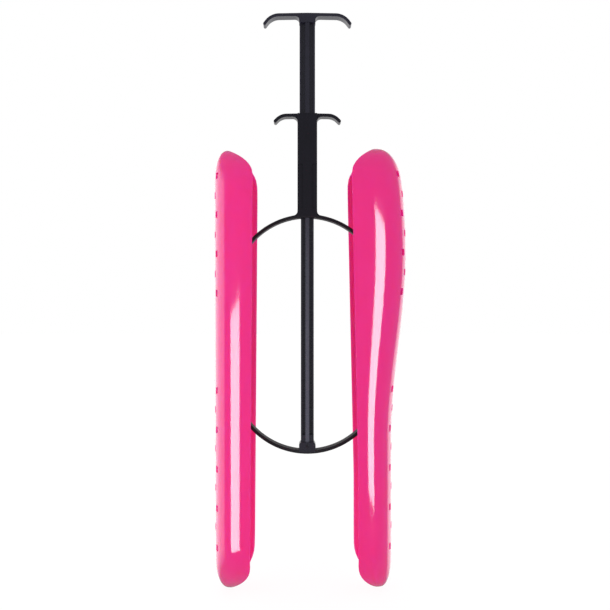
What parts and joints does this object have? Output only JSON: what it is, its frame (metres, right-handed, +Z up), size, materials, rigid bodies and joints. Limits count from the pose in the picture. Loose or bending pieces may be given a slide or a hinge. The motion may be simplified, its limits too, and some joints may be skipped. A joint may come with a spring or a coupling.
{
  "type": "boot shaper",
  "caption": "Two half-tube shells pressed apart inside a boot shaft by a sprung hoop, drawn together by squeezing a palm grip towards a finger grip.",
  "frame": {"origin": "on the push rod's axis, level with the lower tip of the front shell", "axes": "+Z up along the push rod towards the palm grip, +X towards the calf shell, Y across the two shells"},
  "size_m": [0.1735, 0.074, 0.522],
  "materials": {
    "shell_plastic": "smooth glossy pink plastic",
    "black_plastic": "satin black plastic",
    "pin_steel": "plain turned steel"
  },
  "bodies": {
    "sleeve": {"finger_sleeve": "black_plastic", "upper_bow": "black_plastic"},
    "rod": {"push_rod": "black_plastic", "foot_socket": "black_plastic", "foot_pin": "pin_steel", "lower_bow": "black_plastic"},
    "front_shell": {"front_shell": "shell_plastic", "front_carrier": "black_plastic", "upper_front_pin": "pin_steel"},
    "rear_shell": {"rear_shell": "shell_plastic", "rear_carrier": "black_plastic", "upper_rear_pin": "pin_steel"},
    "lower_front_pin": {"lower_front_pin": "pin_steel"},
    "lower_rear_pin": {"lower_rear_pin": "pin_steel"}
  },
  "joints": [
    {"name": "rod_slide", "type": "slide", "parent": "sleeve", "child": "rod", "axis": [0, 0, -1], "range_m": [0, 0.024], "stiffness_N_per_m": 2000, "springref_m": -0.005, "deforming": ["lower_bow"]},
    {"name": "front_shell_slide", "type": "slide", "parent": "sleeve", "child": "front_shell", "axis": [0.7474, 0, -0.6644], "range_m": [0, 0.01807], "deforming": ["upper_bow"]},
    {"name": "rear_shell_slide", "type": "slide", "parent": "sleeve", "child": "rear_shell", "axis": [-0.7474, 0, -0.6644], "range_m": [0, 0.01807]},
    {"name": "lower_front_pin_slide", "type": "slide", "parent": "rod", "child": "lower_front_pin", "axis": [0.7474, 0, 0.6644], "range_m": [0, 0.01807]},
    {"name": "lower_rear_pin_slide", "type": "slide", "parent": "rod", "child": "lower_rear_pin", "axis": [-0.7474, 0, 0.6644], "range_m": [0, 0.01807]}
  ],
  "couplings": [
    {"joint": "front_shell_slide", "follows": "rod_slide", "ratio": 0.7526},
    {"joint": "rear_shell_slide", "follows": "rod_slide", "ratio": 0.7526},
    {"joint": "lower_front_pin_slide", "follows": "rod_slide", "ratio": 0.7526},
    {"joint": "lower_rear_pin_slide", "follows": "rod_slide", "ratio": 0.7526}
  ]
}
